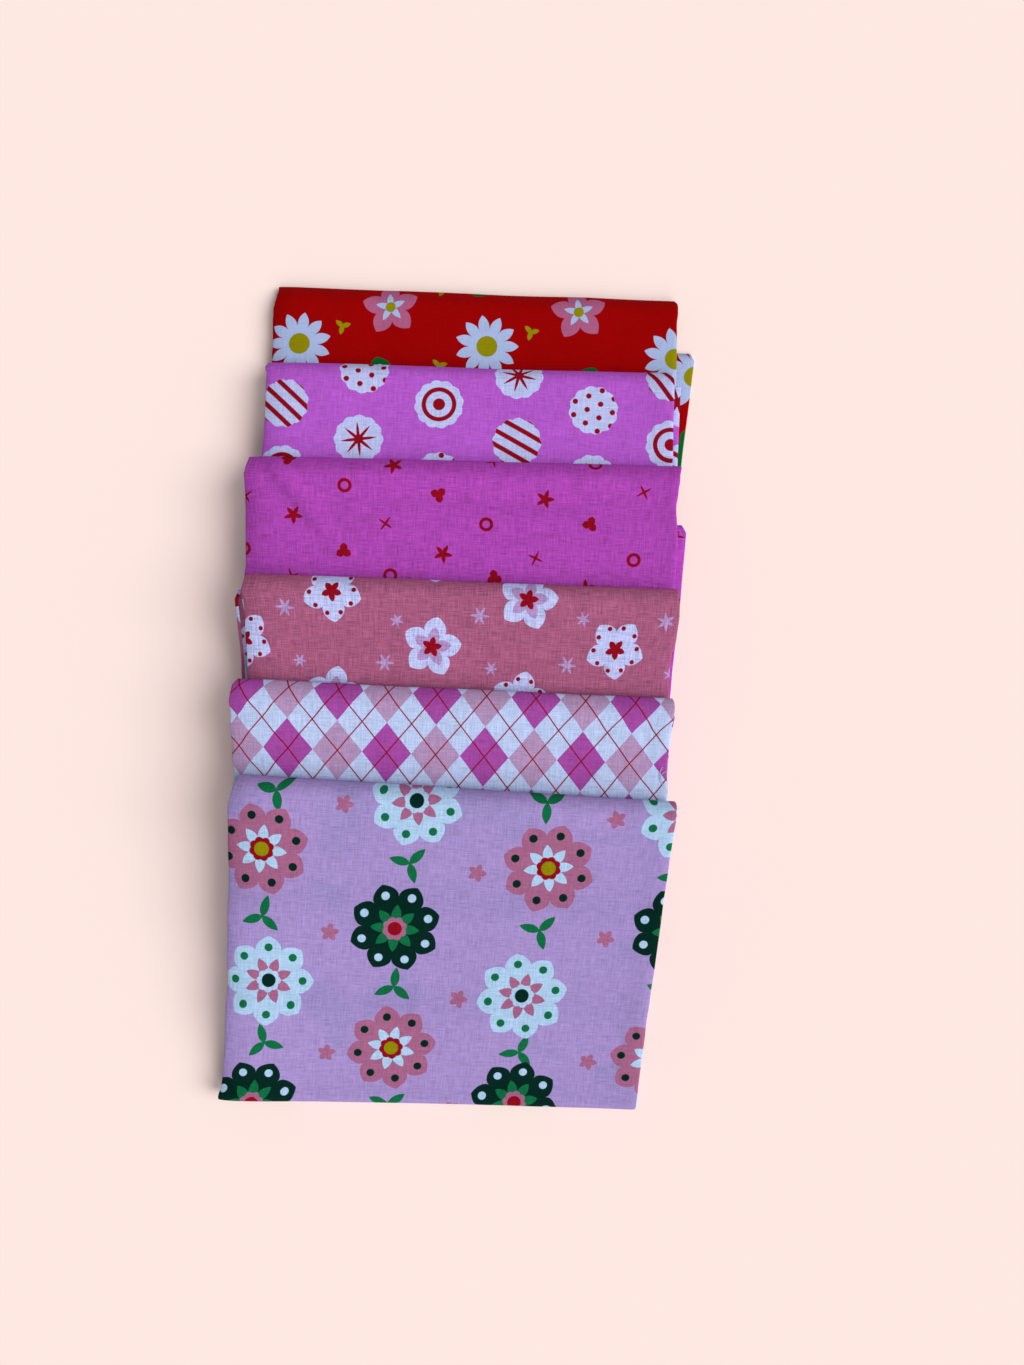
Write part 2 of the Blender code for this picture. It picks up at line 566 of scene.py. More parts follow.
@dataclass(frozen=True)
class BloomPrint(Print):
    """Dusty rose ground: white five-petal flowers and small pale lilac stars."""

    def draw(self, canvas: Canvas) -> None:
        """Prints the motifs. See Print.draw."""
        size = (33.0, 34.0)
        cells = canvas.cells(size, shake=3.0, spin=3.0)
        is_first = cells.kind(2, 0)
        canvas.stamp(Ink.VIOLET_WHITE, Lobed(10.4, 5.8, 5.0, 0.55), cells)
        canvas.stamp(Ink.PALE_LILAC, Lobed(6.9, 3.0, 5.0, 0.8), cells, is_first)
        canvas.stamp(Ink.PRINT_RED, DotRing(7.6, 0.8, 10.0), cells, 1.0 - is_first)
        canvas.stamp(Ink.PRINT_RED, Lobed(3.6, 1.7, 5.0, 0.8), cells)
        for step, radius in (((16.5, 6.0), 3.4), ((12.0, 24.0), 2.6)):
            between = canvas.cells(size, shake=3.0, spin=2.0, step=step)
            canvas.stamp(Ink.PALE_LILAC, Lobed(radius, radius * 0.33, 6.0, 1.6), between)


@dataclass(frozen=True)
class HarlequinPrint(Print):
    """White, hot pink and shell pink diamonds with fine red crossing lines."""

    wide: float = 17.0
    tall: float = 21.0
    line: float = 0.45

    def draw(self, canvas: Canvas) -> None:
        """Prints the motifs. See Print.draw."""
        wire = canvas.wire
        x, y = wire.apart(canvas.place)
        across, down = x / self.wide, y / self.tall
        first = wire.math("FLOOR", across + down)
        second = wire.math("FLOOR", across - down)
        canvas.colour = Ink.HOT_PINK
        canvas.lay(Ink.SHELL_PINK, wire.math("COMPARE", first % 2.0, 0.0, 0.5))
        canvas.lay(Ink.COOL_WHITE, wire.math("COMPARE", (first + second) % 2.0, 0.0, 0.5))
        slant = math.atan2(self.tall, self.wide)
        pitch = self.wide * math.sin(slant)
        middle = wire.vector_math("ADD", canvas.place, (self.wide / 2, 0.0, 0.0))
        for angle in (slant, math.pi - slant):
            canvas.lay(Ink.PRINT_RED, canvas.mask(Stripes(angle, pitch, self.line), middle))


@dataclass(frozen=True)
class BlossomPrint(Print):
    """Lilac ground: large layered blossoms in three colourings, green sprigs and rose stars.

    see_through is how strong the patches are where the print below shows
    through, patch_pace how fast they change, and patch_limits the noise
    where they start and where they are full.
    """

    see_through: float = 0.22
    patch_pace: float = 0.045
    patch_limits: tuple[float, float] = (0.55, 0.70)

    def draw(self, canvas: Canvas) -> None:
        """Prints the motifs. See Print.draw."""
        self._show_through(canvas)
        size = (47.0, 45.0)
        for step, ink, shape in (
            ((0.0, 22.5), Ink.BRIGHT_GREEN, Lobed(7.4, 0.5, 3.0, 1.4)),
            ((23.5, 3.0), Ink.CORAL_ROSE, Lobed(3.4, 1.6, 5.0, 0.7)),
        ):
            canvas.stamp(ink, shape, canvas.cells(size, shake=3.0, spin=4.0, step=step))
        cells = canvas.cells(size, shake=5.0, spin=2.0)
        petals = Lobed(16.2, 11.4, 8.0, 0.5)
        inner_petals = Lobed(8.6, 4.2, 8.0, 0.75, turn=0.0625)
        shapes = (petals, DotRing(12.1, 1.45, 8.0), inner_petals, Lobed(4.4, 3.6, 8.0, 0.6), Lobed.disc(2.5))
        masks = [canvas.mask(shape, cells.local) for shape in shapes]
        # One row a colouring: petals, dots, inner petals, rim of the eye and eye.
        colourings = (
            (Ink.PINE_GREEN, Ink.ICE_WHITE, Ink.BRIGHT_GREEN, Ink.CORAL_ROSE, Ink.PRINT_RED),
            (Ink.ICE_WHITE, Ink.BRIGHT_GREEN, Ink.CORAL_ROSE, Ink.ICE_WHITE, Ink.PINE_GREEN),
            (Ink.CORAL_ROSE, Ink.PINE_GREEN, Ink.ICE_WHITE, Ink.PRINT_RED, Ink.MUSTARD),
        )
        for wanted, inks in enumerate(colourings):
            shown = cells.kind(3, wanted)
            for ink, mask in zip(inks, masks):
                canvas.lay(ink, mask, shown)

    def _show_through(self, canvas: Canvas) -> None:
        """Lays faint blue-grey patches where the print on the ply below shows through."""
        patches = canvas.wire.noise(canvas.place, self.patch_pace, 1.5, 0.45)
        low, high = self.patch_limits
        inputs = {"Value": patches, "From Min": low, "From Max": high, "To Max": self.see_through}
        where = canvas.wire.node("ShaderNodeMapRange", inputs, interpolation_type="SMOOTHSTEP")
        canvas.lay(Ink.SMOKE_BLUE, canvas.wire.out(where))


@dataclass(frozen=True)
class CottonFinish:
    """Matt plain-woven cotton with a print, and its paler reverse.

    slub is how uneven the yarns look, thread their spacing in mm, and relief
    the strength of the weave's bump and its depth in metres. The reverse is
    the ground with the share kept of its colour, and so much white added.
    """

    design: Print
    slub: float = 0.42
    thread: float = 0.40
    relief: tuple[float, float] = (0.35, 0.00008)
    roughness: float = 0.92
    shine: float = 0.03
    kept: float = 0.45
    white: float = 0.33

    def sides(self, tools: PrintTools) -> tuple[bpy.types.Material, bpy.types.Material]:
        """The materials of the printed side and of the unprinted one, paler than the ground."""
        return self._material(tools, printed=True), self._material(tools, printed=False)

    def _material(self, tools: PrintTools, printed: bool) -> bpy.types.Material:
        """The material of one side of the cloth, with the motifs if it is printed."""
        side = "_printed_side" if printed else "_reverse"
        material = bpy.data.materials.new(self.design.name + side)
        material.use_nodes = True
        wire = Wiring(material.node_tree)
        shader = material.node_tree.nodes["Principled BSDF"]
        flat = wire.out(wire.node("ShaderNodeUVMap", uv_map="cloth"))
        in_mm = wire.vector_math("MULTIPLY", flat, (1.0 / MM, -1.0 / MM, 0.0))
        if printed:
            place = wire.vector_math("ADD", in_mm, (*self.design.shift, 0.0))
            canvas = Canvas(wire, tools, place, self.design.ground)
            self.design.draw(canvas)
            colour = canvas.colour
        else:
            colour = tuple(self.kept * part + self.white for part in self.design.ground.value) + (1.0,)
        weave = wire.use(tools.weave, place=in_mm, pitch=self.thread, slub=self.slub)
        # The weave's shade multiplies the colour: uneven yarn tone plus painted shade and light from the
        # threads' relief.
        shaded = wire.blend("MULTIPLY", 1.0, colour, wire.out(weave, "shade"))
        strength, depth = self.relief
        inputs = {"Strength": strength, "Distance": depth, "Height": wire.out(weave, "height")}
        for name, source in (
            ("Base Color", shaded),
            ("Roughness", self.roughness),
            ("Specular IOR Level", self.shine),
            ("Normal", wire.out(wire.node("ShaderNodeBump", inputs))),
        ):
            wire.feed(shader.inputs[name], source)
        return material


def plain_material(name: str, colour: Colour, roughness: float, shine: float = 0.5) -> bpy.types.Material:
    """A material of one colour.

    Args:
        name: its name.
        colour: its linear colour.
        roughness: its roughness.
        shine: its specular level.

    Returns:
        The material.
    """
    material = bpy.data.materials.new(name)
    material.use_nodes = True
    shader = material.node_tree.nodes["Principled BSDF"]
    shader.inputs["Base Color"].default_value = (*colour, 1.0)
    shader.inputs["Roughness"].default_value = roughness
    shader.inputs["Specular IOR Level"].default_value = shine
    return material


def finished_piece(
    name: str, shape: bmesh.types.BMesh, materials: tuple[bpy.types.Material, ...]
) -> bpy.types.Object:
    """Turns a shape into an object of the scene and frees the shape.

    Args:
        name: the name of the object and its mesh.
        shape: the shape, in metres.
        materials: its materials.

    Returns:
        The object.
    """
    mesh = bpy.data.meshes.new(name)
    shape.to_mesh(mesh)
    shape.free()
    for material in materials:
        mesh.materials.append(material)
    piece = bpy.data.objects.new(name, mesh)
    bpy.context.scene.collection.objects.link(piece)
    return piece


def smooth(value: float) -> float:
    """0 up to 0, 1 from 1 on, and a soft S between."""
    held = min(max(value, 0.0), 1.0)
    return held * held * (3.0 - 2.0 * held)


def ramp(value: float, soft: float = 0.2) -> float:
    """0 up to 0, 1 from 1 on, and a straight slope with soft ends between."""
    held = min(max(value, 0.0), 1.0)
    slope = 1.0 / (1.0 - soft)
    if held < soft:
        return slope * held * held / (2 * soft)
    if held > 1.0 - soft:
        return 1.0 - slope * (1.0 - held) ** 2 / (2 * soft)
    return slope * (held - soft / 2)


def fading(distance: float, run: float) -> float:
    """1 at no distance, and 0 from the run on, flat where it ends."""
    return max(0.0, 1.0 - distance / run) ** 2


@dataclass(frozen=True)
class Crease:
    """A soft trough or ridge on a bundle's top, in mm from its middle and back edge."""

    start: tuple[float, float]
    end: tuple[float, float]
    width: float
    rise: float

    # The rise fades no further within this share of the length from either end.
    FADE_END: ClassVar[float] = 0.08

    def at(self, across: float, along: float) -> float:
        """The height it adds at a place, in mm."""
        run = Vector(self.end) - Vector(self.start)
        away = Vector((across, along)) - Vector(self.start)
        share = min(max(away.dot(run) / run.length_squared, 0.0), 1.0)
        off = (away - run * share).length / self.width
        fade = math.sin(math.pi * min(max(share, self.FADE_END), 1.0 - self.FADE_END))
        return self.rise * fade * math.exp(-off * off)


@dataclass(frozen=True)
class Waves:
    """The soft random waves of the cloth: heights in mm, and paces in waves a mm.

    top and top_fine are on a bundle's top, side moves its side edges, back
    its back edge, and ply each ply for itself. Each takes the bundle's seed
    times a number of its own, so that none repeats another.
    """

    top: float = 0.42
    top_fine: float = 0.16
    fine_ratio: float = 2.9
    top_pace: tuple[float, float] = (0.030, 0.038)
    side: float = 0.22
    side_pace: float = 0.045
    back: float = 0.25
    back_pace: float = 0.03
    back_run: float = 20.0
    ply: float = 0.07
    ply_pace: tuple[float, float] = (0.06, 0.02)


@dataclass(frozen=True)
class Fold:
    """The measures that every bundle shares, in mm.

    depth is from back to front, strip the height of a panel's three plies,
    and level_gap, bundle_gap and table_gap what is left between panels,
    between bundles and over the table. The inner free end stops
    free_end_room short of the front fold. The next bundle starts to come
    down droop_start behind the front edge. Behind the last panel's free end
    the lowest level is empty, and the panels over it sink in by sink_share
    of a level, or by less where the empty part is shorter than sink_full.
    They do so over sink_run, which ends sink_start before the free end at
    the latest. The back fold reaches back_reach past the panels, and the top
    comes down to it by the share roll over roll_run. The corners of the free
    end are drawn in by flap_corner, and those of the back edge by the
    bundle's corner_inset, over corner_run. left_press and right_press say
    how much flatter a side edge is, and over what run. cloth is the sheet's
    own thickness, and ply the height from one ply to the next. levels are
    the panels in winding order, counted down from the top, and panel_rows
    and fold_rows their mesh rows.
    """

    depth: float = 117.4
    strip: float = 1.04
    level_gap: float = 0.40
    bundle_gap: float = 0.45
    free_end_room: float = 1.5
    droop_start: float = 4.0
    sink_start: float = 1.0
    sink_run: float = 10.0
    sink_share: float = 0.9
    sink_full: float = 12.0
    back_reach: float = 6.5
    roll: float = 0.33
    roll_run: float = 7.2
    corner_run: float = 2.2
    flap_corner: float = 1.8
    left_press: tuple[float, float] = (0.24, 4.2)
    right_press: tuple[float, float] = (0.02, 1.0)
    cloth: float = 0.27
    ply: float = 0.34
    table_gap: float = 0.02
    levels: tuple[int, ...] = (3, 2, 4, 1, 5)
    panel_rows: tuple[int, ...] = (16, 16, 20, 78, 34)
    fold_rows: tuple[int, ...] = (6, 8, 16, 9)

    @property
    def pitch(self) -> float:
        """The height from one level to the next."""
        return self.strip + self.level_gap

    @property
    def thick(self) -> float:
        """The height of a whole bundle."""
        return len(self.levels) * self.strip + (len(self.levels) - 1) * self.level_gap

    @property
    def last(self) -> int:
        """The number of the last panel in winding order, which ends at the outer free end."""
        return len(self.levels) - 1

    @property
    def top(self) -> int:
        """The number of the top panel in winding order."""
        return self.levels.index(1)

    def level_height(self, level: int) -> float:
        """The height of a level's middle over the bundle's underside."""
        return self.thick - self.strip / 2 - (level - 1) * self.pitch


@dataclass(frozen=True)
class Edge:
    """How far the side edges stand out at one distance from the back, in mm."""

    along: float
    left: float
    right: float


@dataclass(frozen=True)
class Row:
    """One line across the strip: its place along the winding, and the share of its panel."""

    flat: float
    along: float
    height: float
    direction: tuple[float, float]
    panel: int
    share: float


@dataclass(frozen=True)
class Column:
    """One line along the strip: its place across the three plies."""

    flat: float
    across: float
    offset: float


@dataclass
class FatQuarter:
    """One folded sheet of printed cotton, in mm and degrees.

    middle_x and back_y place the middle of the back edge, and turn is its
    slope. lean slants the side edges, corner_inset draws in the back
    corners, and front_turn is the front edge's further slope. flap_short is
    how far the last panel ends from the back edge, and
    flap_drift how far its free end has slipped to the right, and flap_power
    how much of that is near the free end. droop_run is the length over which
    the next bundle comes down past this one. shown is how much of the top is
    bare, from the back. inner_slips are the slips to the right of the inner
    free end, the inner back fold and the inner front fold. left_sag is how
    far the top sinks at the left edge, and over what run. ply_columns are
    the mesh columns of the under, the outer and the innermost ply. seed sets
    the random waves apart from other bundles'. below is filled in when the
    stack is built.
    """

    node: str
    finish: CottonFinish
    middle_x: float
    back_y: float
    turn: float
    width: float
    lean: float
    corner_inset: float
    flap_short: float
    shown: float
    seed: int
    front_turn: float = 0.0
    flap_drift: float = 0.0
    flap_power: float = 1.0
    droop_run: float = 0.0
    inner_slips: tuple[float, float, float] = (0.0, 0.0, 0.0)
    left_sag: tuple[float, float] = (0.0, 1.0)
    ply_columns: tuple[int, int, int] = (44, 54, 20)
    edges: tuple[Edge, ...] = ()
    creases: tuple[Crease, ...] = ()
    below: list["FatQuarter"] = field(default_factory=list)
    fold: Fold = field(default_factory=Fold)
    waves: Waves = field(default_factory=Waves)

    FLAT_SIZE: ClassVar[tuple[float, float]] = (0.457, 0.559)
    # The cut edges stop this far short of the strip's sides.
    UNDER_SHORT: ClassVar[float] = 1.4
    INNER_SHORT: ClassVar[float] = 1.2
    # The mesh columns crowd towards a ply's ends by this share, where the side folds need them.
    CROWDING: ClassVar[float] = 0.6
    SIDE_FOLD_PIECES: ClassVar[int] = 5
    # The top's unevenness fades over this length before the next bundle.
    BARE_FADE: ClassVar[float] = 5.0

    @property
    def slot_name(self) -> str:
        """The material slot of the record that this cloth fills."""
        return self.node.replace("_fat_quarter", "_cotton")

    def rows(self) -> list[Row]:
        """Every line across the strip, from its inner free end to its outer one."""
        fold = self.fold
        heights = [fold.level_height(level) for level in fold.levels]
        back = fold.strip / 2 + fold.back_reach
        front = fold.depth - fold.strip / 2 - abs(heights[fold.last] - heights[fold.top]) / 2
        starts = (front - fold.free_end_room, back, front, back, front)
        ends = (back, front, back, front, self.flap_short)
        rows: list[Row] = []
        flat = 0.0
        for panel, height in enumerate(heights):
            heading = -1.0 if panel % 2 == 0 else 1.0
            length = abs(ends[panel] - starts[panel])
            count = fold.panel_rows[panel]
            for piece in range(count + 1):
                share = piece / count
                along = starts[panel] + (ends[panel] - starts[panel]) * share
                rows.append(Row(flat + length * share, along, height, (heading, 0.0), panel, share))
            flat += length
            if panel == fold.last:
                break
            radius = abs(heights[panel + 1] - height) / 2
            # The fold before the top panel is the one that shows at the back.
            reach = fold.back_reach if panel == fold.top - 1 else radius
            middle = (heights[panel + 1] + height) / 2
            rise = 1.0 if heights[panel + 1] > height else -1.0
            for piece in range(1, fold.fold_rows[panel] + 1):
                angle = math.pi * piece / fold.fold_rows[panel]
                along = ends[panel] + heading * reach * math.sin(angle)
                level = middle - rise * radius * math.cos(angle)
                flat += math.dist((along, level), (rows[-1].along, rows[-1].height))
                tangent = Vector((heading * reach * math.cos(angle), rise * radius * math.sin(angle)))
                rows.append(Row(flat, along, level, tuple(tangent.normalized()), panel, 1.0))
            # The next panel starts with the line that ends the fold.
            rows.pop()
        return rows

    def columns(self) -> list[Column]:
        """Every line along the strip: left third under, middle third out, right third innermost."""
        ply = self.fold.ply
        half = self.width / 2
        left, right = ply / 2, ply
        under, outer, inner = self.ply_columns
        # One row a ply: its ends, height, columns, and the radius and side of the fold after it.
        runs = (
            (half - self.UNDER_SHORT, -half + left, 0.0, under, left, -1.0),
            (-half + left, half - right, ply, outer, right, 1.0),
            (half - right, -half + self.INNER_SHORT, -ply, inner, 0.0, 0.0),
        )
        columns: list[Column] = []
        flat = 0.0
        for start, end, offset, count, radius, side in runs:
            length = abs(end - start)
            for piece in range(count + 1):
                share = piece / count
                eased = share - math.sin(2 * math.pi * share) / (2 * math.pi) * self.CROWDING
                columns.append(Column(flat + length * eased, start + (end - start) * eased, offset))
            flat += length
            if not radius:
                continue
            rise = 1.0 if side < 0 else -1.0
            for piece in range(1, self.SIDE_FOLD_PIECES):
                angle = math.pi * piece / self.SIDE_FOLD_PIECES
                across = end + side * radius * math.sin(angle)
                height = offset + rise * radius * (1.0 - math.cos(angle))
                columns.append(Column(flat + radius * angle, across, height))
            flat += math.pi * radius
        return columns

    def front_line(self, x: float) -> float:
        """The y of the front edge at this x."""
        turn = math.radians(self.turn + self.front_turn)
        return self.back_y - self.fold.depth + math.tan(turn) * (x - self.middle_x)

    def rest_height(self, x: float, y: float) -> float:
        """How high the underside lies over this place on the table."""
        height = 0.0
        for lower in self.below:
            run = lower.droop_run
            past_end = y - (lower.front_line(x) + self.fold.droop_start - run)
            height += (self.fold.thick + self.fold.bundle_gap) * ramp(past_end / run)
        return height

    def unevenness(self, across: float, along: float, share: float) -> float:
        """The soft troughs and ridges of the top, fading to the underside.

        Args:
            across: distance from the middle.
            along: distance from the back edge.
            share: height in the bundle, 0 under and 1 on top.

        Returns:
            The height to add, in mm.
        """
        bare = 1.0 - smooth((along - self.shown + self.BARE_FADE) / self.BARE_FADE)
        if bare <= 0.0 or share <= 0.0:
            return 0.0
        waves = self.waves
        spot = Vector((across * waves.top_pace[0], along * waves.top_pace[1], self.seed * 7.3))
        lift = waves.top * noise.noise(spot) + waves.top_fine * noise.noise(spot * waves.fine_ratio)
        lift += sum(crease.at(across, along) for crease in self.creases)
        drop, run = self.left_sag
        lift -= drop * math.exp(-(self.width / 2 + across) / run)
        return bare * share * lift

    def placed(self, row: Row, column: Column) -> Vector:
        """A point of the sheet in the stack.

        Args:
            row: its line across the strip.
            column: its line along the strip.

        Returns:
            The position in metres.
        """
        fold, waves = self.fold, self.waves
        along = row.along - column.offset * row.direction[1]
        height = row.height + column.offset * row.direction[0]
        local_x = self._sideways(row, column.across, along)
        twist = math.tan(math.radians(self.front_turn)) * along / fold.depth
        back_wave = waves.back * noise.noise(Vector((column.across * waves.back_pace, self.seed * 5.7, 1.0)))
        local_y = -along + twist * local_x + back_wave * max(0.0, 1.0 - along / waves.back_run)
        turn = math.radians(self.turn)
        x = self.middle_x + local_x * math.cos(turn) - local_y * math.sin(turn)
        y = self.back_y + local_x * math.sin(turn) + local_y * math.cos(turn)
        # The three plies of the top level share every trough and ridge.
        share = min(max(height / (fold.thick - fold.strip), 0.0), 1.0)
        press, reach = fold.left_press if column.across < 0 else fold.right_press
        pressed = 1.0 - press * math.exp(-(self.width / 2 - abs(column.across)) / reach)
        pressed *= 1.0 - fold.roll * fading(along, fold.roll_run)
        z = self.rest_height(x, y) + self._sunk(along, height) * pressed
        z += self.unevenness(column.across, along, share)
        pace_along, pace_across = waves.ply_pace
        spot = Vector((row.flat * pace_along, column.across * pace_across, self.seed * 2.3))
        # The lowest quarter lies flatter, on what is below it.
        z += waves.ply * noise.noise(spot) * min(1.0, 4.0 * share)
        return Vector((x, y, max(z, fold.cloth / 2 + fold.table_gap))) * MM

    def on_top(self, across: float, along: float) -> Vector:
        """The place in metres on the upper face of the top ply."""
        row = Row(0.0, along, self.fold.level_height(1), (1.0, 0.0), self.fold.top, 0.5)
        return self.placed(row, Column(0.0, across, self.fold.ply + self.fold.cloth / 2))

    def _sideways(self, row: Row, across: float, along: float) -> float:
        """The distance to the right of the bundle's middle line, with all that moves it.

        Args:
            row: the line across the strip.
            across: the distance before anything moves it.
            along: distance from the back edge.

        Returns:
            The distance in mm.
        """
        fold, waves = self.fold, self.waves
        if row.panel == fold.last:
            inset = fold.flap_corner * fading(along - self.flap_short, fold.corner_run)
        else:
            inset = self.corner_inset * fading(along, fold.corner_run)
        spot = Vector((row.flat * waves.side_pace, self.seed * 3.1, math.copysign(5.0, across)))
        wobble = waves.side * noise.noise(spot)
        # A last panel that has slipped follows the table of edges only in its first quarter.
        slipped = row.panel == fold.last and self.flap_drift
        kept = smooth(1.0 - 4.0 * row.share) if slipped else 1.0
        outward = self._outward(along, across) * kept + wobble - inset
        moved = across + math.copysign(1.0, across) * outward * (across / (self.width / 2)) ** 2
        return moved + self.lean * along + self._slip(row)

    def _outward(self, along: float, across: float) -> float:
        """How far the side edge on this side stands out, between the rows of its table."""
        table = [(edge.along, edge.left if across < 0 else edge.right) for edge in self.edges]
        for (near, here), (far, there) in zip(table, table[1:]):
            if along < far:
                return here + (there - here) * smooth((along - near) / (far - near))
        return table[-1][1]

    def _slip(self, row: Row) -> float:
        """How far this line has slipped sideways, from one fold to the next."""
        slips = (*self.inner_slips, 0.0, 0.0)
        if row.panel == self.fold.last:
            return self.flap_drift * row.share**self.flap_power
        return slips[row.panel] + (slips[row.panel + 1] - slips[row.panel]) * row.share

    def _sunk(self, along: float, height: float) -> float:
        """The height after the panels over the empty back of the lowest level have sunk."""
        fold = self.fold
        if height < fold.level_height(fold.levels[fold.last]) + (fold.strip + fold.level_gap) / 2:
            return height
        depth = fold.sink_share * fold.pitch * min(1.0, self.flap_short / fold.sink_full)
        run = min(fold.sink_run, self.flap_short - fold.sink_start)
        return height - depth * fading(max(along, 0.0), run)

    def build(self, tools: PrintTools) -> bpy.types.Object:
        """Folds a grid into the bundle and dresses it as one sheet of cloth.

        Args:
            tools: the shared node groups.

        Returns:
            The finished sheet.
        """
        rows, columns = self.rows(), self.columns()
        shape = bmesh.new()
        bmesh.ops.create_grid(shape, x_segments=len(columns) - 1, y_segments=len(rows) - 1, size=1.0)
        cloth = shape.loops.layers.uv.new("cloth")
        spots = {}
        for vert in shape.verts:
            column = columns[round((vert.co.x + 1.0) / 2.0 * (len(columns) - 1))]
            # The grid runs against the winding, so the printed side faces out.
            row = rows[round((1.0 - vert.co.y) / 2.0 * (len(rows) - 1))]
            spots[vert] = (column.flat * MM, row.flat * MM)
            vert.co = self.placed(row, column)
        for face in shape.faces:
            face.smooth = True
            for loop in face.loops:
                loop[cloth].uv = spots[loop.vert]
        name = self.finish.design.name + "_sheet"
        sheet = finished_piece(name, shape, self.finish.sides(tools))
        thickness = sheet.modifiers.new("cloth thickness", "SOLIDIFY")
        thickness.thickness = self.fold.cloth * MM
        thickness.offset = 0.0
        thickness.material_offset = 1
        thickness.material_offset_rim = 1
        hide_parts(self.node)
        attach(sheet, "root")
        return sheet


@dataclass(frozen=True)
class ThreadFinish:
    """Undyed cotton thread."""

    colour: Colour = (0.55, 0.60, 0.74)
    roughness: float = 0.9

    def material(self) -> bpy.types.Material:
        """The thread's material."""
        return plain_material("undyed_thread", self.colour, self.roughness)


@dataclass(frozen=True)
class LooseThread:
    """A curl of loose thread on top of a bundle, in mm and degrees.

    across and along place the middle of the curl on the bundle and bend is
    its radius. It runs from the angle start over the angle arc. radius is
    the thread's own, lift how high its middle lies over the cloth, and sides
    and steps say how fine its mesh is.
    """

    name: str
    across: float
    along: float
    bend: float
    start: float
    arc: float
    radius: float = 0.10
    lift: float = 0.22
    sides: int = 6
    steps: int = 14

    def build(self, quarter: FatQuarter, finish: ThreadFinish) -> bpy.types.Object:
        """Spins the thread's round section into a curl and lays it on the cloth.

        Args:
            quarter: the bundle it lies on.
            finish: the thread's finish.

        Returns:
            The thread.
        """
        shape = bmesh.new()
        bmesh.ops.create_circle(shape, segments=self.sides, radius=self.radius)
        upright = Matrix.Rotation(math.pi / 2, 3, "X")
        at_start = Matrix.Rotation(math.radians(self.start), 3, "Z")
        bmesh.ops.rotate(shape, verts=shape.verts[:], matrix=upright)
        bmesh.ops.translate(shape, verts=shape.verts[:], vec=(self.bend, 0.0, 0.0))
        bmesh.ops.rotate(shape, verts=shape.verts[:], matrix=at_start)
        section = shape.verts[:] + shape.edges[:]
        arc = math.radians(self.arc)
        bmesh.ops.spin(shape, geom=section, axis=(0.0, 0.0, 1.0), angle=arc, steps=self.steps)
        bmesh.ops.holes_fill(shape, edges=shape.edges[:])
        bmesh.ops.recalc_face_normals(shape, faces=shape.faces[:])
        for vert in shape.verts:
            place = quarter.on_top(self.across + vert.co.x, self.along - vert.co.y)
            vert.co = place + Vector((0.0, 0.0, (vert.co.z + self.lift) * MM))
        thread = finished_piece(self.name, shape, (finish.material(),))
        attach(thread, "root")
        return thread


@dataclass
class Stack:
    """The six bundles, from the back and lowest to the front and topmost.

    threads lists loose threads by the node of the bundle that they lie on.
    """

    quarters: list[FatQuarter]
    threads: dict[str, tuple[LooseThread, ...]]

    def build(self, tools: PrintTools) -> None:
        """Args:
            tools: the shared node groups.
        """
        earlier: list[tuple[FatQuarter, bpy.types.Object]] = []
        for quarter in self.quarters:
            quarter.below = [lower for lower, _ in earlier]
            sheet = quarter.build(tools)
            threads = self.threads.get(quarter.node, ())
            loose = [thread.build(quarter, ThreadFinish()).name for thread in threads]
            LOG.info("%s: %d points", sheet.name, len(sheet.data.vertices))
            earlier.append((quarter, sheet))


@dataclass(frozen=True)
class Lamp:
    """A broad distant light: its spread and lean in degrees, straight down if it has no lean.

    forward leans its rays to the back of the stack, and sideways to the left.
    """

    name: str
    energy: float
    spread: float
    forward: float
    sideways: float

    def build(self) -> None:
        """Adds the light."""
        light = bpy.data.lights.new(self.name, "SUN")
        light.energy = self.energy
        light.angle = math.radians(self.spread)
        lamp = bpy.data.objects.new(self.name, light)
        lamp.rotation_euler = (math.radians(self.forward), math.radians(self.sideways), 0.0)
        bpy.context.scene.collection.objects.link(lamp)


@dataclass(frozen=True)
class Studio:
    """The pale table, the soft lights and the camera above, in metres and degrees."""

    floor_colour: Colour = (0.962, 0.778, 0.734)
    floor_roughness: float = 0.95
    floor_reach: float = 3.0
    lamps: tuple[Lamp, ...] = (
        Lamp("window_light", 2.72, 44.0, 3.0, 48.0),
        Lamp("front_light", 1.12, 36.0, 50.0, 16.0),
    )
    surround: float = 0.24
    camera_place: tuple[float, float, float] = (0.0196, -0.0058, 0.3216)
    camera_tilt: float = 1.676
    lens: float = 22.59
    sensor: float = 36.0
    nearest: float = 0.01

    def build(self) -> None:
        """Adds the floor, the lights and the camera."""
        self._floor()
        for lamp in self.lamps:
            lamp.build()
        self._surround()
        self._camera()
        LOG.info("studio ready")

    def _floor(self) -> None:
        """A wide pale table top, just under the cloth."""
        shape = bmesh.new()
        bmesh.ops.create_grid(shape, x_segments=1, y_segments=1, size=self.floor_reach)
        table = plain_material("pale_table", self.floor_colour, self.floor_roughness, shine=0.0)
        finished_piece("table_top", shape, (table,))

    def _surround(self) -> None:
        """An even white light from all round."""
        world = bpy.data.worlds.new("pale_surround")
        world.use_nodes = True
        background = world.node_tree.nodes["Background"]
        background.inputs["Color"].default_value = (1.0, 1.0, 1.0, 1.0)
        background.inputs["Strength"].default_value = self.surround
        bpy.context.scene.world = world

    def _camera(self) -> None:
        """The camera, nearly straight above."""
        lens = bpy.data.cameras.new("camera_above")
        lens.lens = self.lens
        lens.sensor_width = self.sensor
        lens.clip_start = self.nearest
        camera = bpy.data.objects.new("camera_above", lens)
        camera.location = self.camera_place
        camera.rotation_euler = (math.radians(self.camera_tilt), 0.0, 0.0)
        bpy.context.scene.collection.objects.link(camera)
        bpy.context.scene.camera = camera


